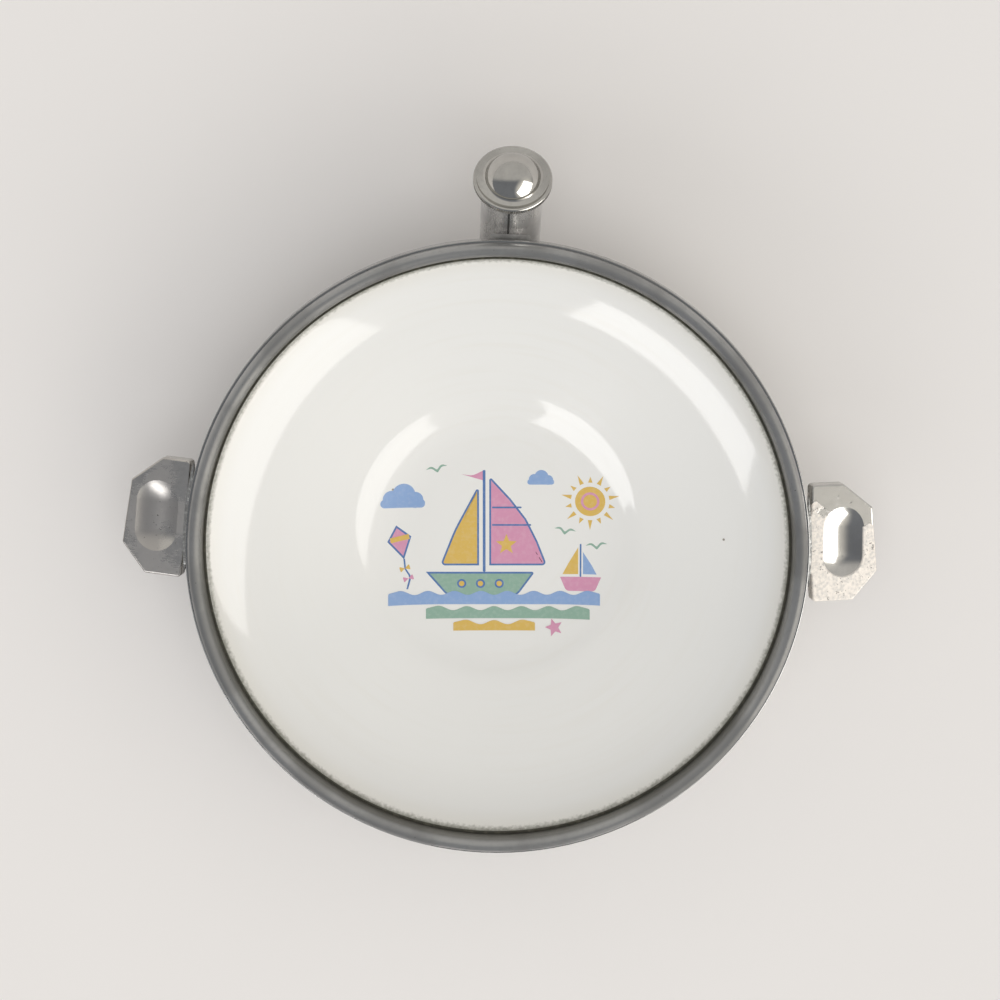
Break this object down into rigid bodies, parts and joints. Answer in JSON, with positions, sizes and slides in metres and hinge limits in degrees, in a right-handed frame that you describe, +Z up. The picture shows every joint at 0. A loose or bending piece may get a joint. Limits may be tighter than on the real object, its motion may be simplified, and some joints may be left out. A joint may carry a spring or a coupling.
{
  "type": "warming dish",
  "caption": "Child's warming dish: an ivory glazed bowl in a plated hot-water jacket with a leaning filler neck, a screw cap and two thumb tabs.",
  "frame": {"origin": "centre of the flat base, on the table, on the dish's own upright axis", "axes": "+Z up, +Y from the dish's axis towards the filler neck, +X towards the right thumb tab"},
  "size_m": [0.2176, 0.2038, 0.0548],
  "materials": {
    "glazed_ceramic": "ivory glaze, glossy, with a printed picture",
    "gasket_rubber": "aged black rubber, matt",
    "jacket_plate": "nickel plate, dulled and scratched",
    "bezel_plate": "polished plate with fine wear",
    "tube_plate": "nickel plate, dulled",
    "cap_plate": "polished plate with fine wear",
    "handle_left_plate": "nickel plate, worn grey brown",
    "handle_right_plate": "nickel plate, worn bright and pitted",
    "solder": "dull soft solder",
    "bush_brass": "turned brass, tarnished",
    "plug_brass": "turned brass, tarnished",
    "washer_rubber": "hard red-brown rubber, aged"
  },
  "bodies": {
    "dish": {"bowl": "glazed_ceramic", "lip_gasket": "gasket_rubber", "jacket": "jacket_plate", "rim_bezel": "bezel_plate", "spout_tube": "tube_plate", "spout_solder": "solder", "neck_bushing": "bush_brass", "handle_left": "handle_left_plate", "handle_right": "handle_right_plate", "handle_left_solder": "solder", "handle_right_solder": "solder"},
    "washer": {"cap_washer": "washer_rubber"},
    "cap": {"cap_shell": "cap_plate", "cap_plug": "plug_brass"}
  },
  "joints": [
    {"name": "cap_lift", "type": "slide", "parent": "dish", "child": "washer", "axis": [0, 0.636, 0.7717], "range_m": [0, 0.007]},
    {"name": "cap_turn", "type": "hinge", "parent": "washer", "child": "cap", "pos_m": [0, 0.10463, 0.04571], "axis": [0, 0.636, 0.7717], "range_deg": [0, 1260]}
  ],
  "couplings": [
    {"joint": "cap_lift", "follows": "cap_turn", "m_per_rad": 0.00031831}
  ]
}
